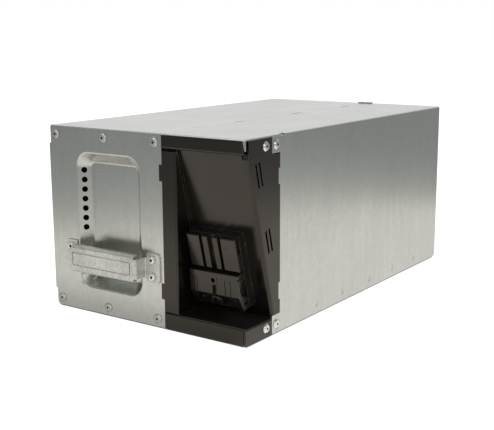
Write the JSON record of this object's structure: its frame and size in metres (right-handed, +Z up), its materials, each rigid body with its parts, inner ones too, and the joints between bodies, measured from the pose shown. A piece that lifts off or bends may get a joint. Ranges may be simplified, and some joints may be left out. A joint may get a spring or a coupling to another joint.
{
  "type": "ups battery cartridge",
  "caption": "Slide-in battery cartridge for a rack-mounted uninterruptible power supply, a galvanised steel case with a pull handle and a black connector bay",
  "frame": {"origin": "centre of the underside of the case", "axes": "+X to the right as seen from the front, +Y from the front plate to the back, +Z up"},
  "size_m": [0.2154, 0.3747, 0.1662],
  "materials": {
    "galvanised_steel": "dull zinc coated sheet with a faint vertical mottle",
    "zinc_plate": "light matt zinc plate",
    "bright_screw": "bright plated hardware",
    "black_screw": "blackened screw heads",
    "black_powder_coat": "fine black powder coat, satin",
    "plug_moulding": "black moulded plastic",
    "contact_brass": "plain brass blade",
    "battery_case": "dark grey moulded case",
    "terminal_tin": "tinned tab",
    "lead_insulation": "black flexible insulation",
    "insulating_sheet": "thin pale insulating sheet",
    "foam": "soft grey foam",
    "grommet_rubber": "black rubber",
    "fuse_body": "pale fibre tube with metal caps"
  },
  "bodies": {
    "root": {"main_cover": "galvanised_steel", "side_cover": "galvanised_steel", "base_pan": "galvanised_steel", "rear_panel": "galvanised_steel", "front_brace": "galvanised_steel", "corner_gusset": "galvanised_steel", "bulkhead": "galvanised_steel", "handle": "zinc_plate", "handle_screws": "bright_screw", "handle_nuts": "bright_screw", "front_rivets": "zinc_plate", "bay_rivets": "bright_screw", "side_rivets": "bright_screw", "top_rail": "black_powder_coat", "bay_wall": "black_powder_coat", "connector_bracket": "black_powder_coat", "base_shelf": "black_powder_coat", "connector_plate": "black_powder_coat", "connector_body": "plug_moulding", "contact_housing": "plug_moulding", "contacts": "contact_brass", "lower_shell": "plug_moulding", "latch_arch": "plug_moulding", "plug_screws": "black_screw", "battery_left_1": "battery_case", "battery_left_2": "battery_case", "battery_left_3": "battery_case", "battery_left_4": "battery_case", "battery_right_1": "battery_case", "battery_right_2": "battery_case", "battery_right_3": "battery_case", "battery_right_4": "battery_case", "terminals": "terminal_tin", "link_leads": "lead_insulation", "battery_liner": "insulating_sheet", "centre_divider": "insulating_sheet", "top_pads": "foam", "end_pads": "foam", "grommets": "grommet_rubber", "fuse_holder": "plug_moulding", "fuse": "fuse_body", "lead_positive": "lead_insulation", "lead_negative": "lead_insulation", "lead_fuse": "lead_insulation", "terminal_sockets": "lead_insulation"}
  },
  "joints": []
}
